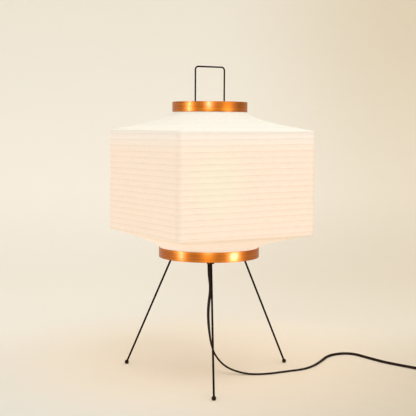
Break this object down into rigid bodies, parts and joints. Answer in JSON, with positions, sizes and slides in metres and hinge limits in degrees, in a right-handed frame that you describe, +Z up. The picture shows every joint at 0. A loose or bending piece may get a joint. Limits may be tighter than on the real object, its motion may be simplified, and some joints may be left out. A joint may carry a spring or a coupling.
{
  "type": "paper lantern lamp",
  "caption": "Square paper lantern lamp: paper on a spiral bamboo rib between two copper-coloured hoops, with a wire carrying loop, on a splayed wire tripod, with bulb, cord, switch and plug",
  "frame": {"origin": "on the floor under the lamp's axis, in the middle of its footprint", "axes": "+Z up the lamp's axis; -Y from the axis to the front foot; +X to the right seen from the front"},
  "size_m": [0.6895, 0.3652, 0.565],
  "materials": {
    "brushed_copper": "copper-coloured sheet, brushed round the hoop, clear lacquer",
    "paper": "warm white handmade paper, lit from inside",
    "bamboo": "plain split bamboo",
    "black_metal": "satin black-brown paint",
    "foot_rubber": "matt black",
    "zinc_steel": "zinc plated",
    "black_plastic": "matt black moulding",
    "rocker_plastic": "smooth black",
    "white_ceramic": "plain porcelain",
    "brass_strip": "plain brass",
    "bulb_metal": "bright",
    "black_glass": "glossy black insulator",
    "bulb_glass": "opal, lit",
    "clear_glass": "clear",
    "filament": "glowing wire",
    "cord_sheath": "black-brown flexible sheath",
    "tie_web": "woven black strap"
  },
  "bodies": {
    "stand": {"bamboo_rib": "bamboo", "base_spider": "black_metal", "bottom_hoop": "brushed_copper", "bulb_cap": "bulb_metal", "bulb_filament": "filament", "bulb_glass": "bulb_glass", "bulb_insulator": "black_glass", "bulb_stem": "clear_glass", "bulb_tip": "bulb_metal", "coil_tie": "tie_web", "cord_coil": "cord_sheath", "cord_gland": "black_plastic", "cord_lead": "cord_sheath", "cord_tail": "cord_sheath", "foot_front": "foot_rubber", "foot_left": "foot_rubber", "foot_right": "foot_rubber", "holder_cap": "black_plastic", "holder_contact": "brass_strip", "holder_insert": "white_ceramic", "holder_sleeve": "black_plastic", "holder_thread": "brass_strip", "hoop_rivets": "zinc_steel", "hub_nut": "zinc_steel", "hub_tube": "zinc_steel", "hub_washer": "zinc_steel", "leg_front": "black_metal", "leg_left": "black_metal", "leg_right": "black_metal", "leg_socket_front": "black_metal", "leg_socket_left": "black_metal", "leg_socket_right": "black_metal", "paper_shade": "paper", "plug_blades": "brass_strip", "plug_body": "black_plastic", "stretcher_handle": "black_metal", "switch_contact": "brass_strip", "switch_lower_shell": "black_plastic", "switch_screws": "zinc_steel", "switch_upper_shell": "black_plastic", "upright_screws": "zinc_steel", "upright_socket_left": "black_metal", "upright_socket_right": "black_metal"},
    "shade_top": {"top_hoop": "brushed_copper", "top_bar": "black_metal", "bar_rivets": "zinc_steel", "bar_grip_left": "foot_rubber", "bar_grip_right": "foot_rubber"},
    "rocker": {"switch_rocker": "rocker_plastic"}
  },
  "joints": [
    {"name": "shade_fold", "type": "slide", "parent": "stand", "child": "shade_top", "axis": [0, 0, -1], "range_m": [0, 0.15], "deforming": ["paper_shade", "bamboo_rib"]},
    {"name": "rocker", "type": "hinge", "parent": "stand", "child": "rocker", "pos_m": [0.428, -0.084, 0.01495], "axis": [-1, 0, 0], "range_deg": [0, 14]}
  ]
}
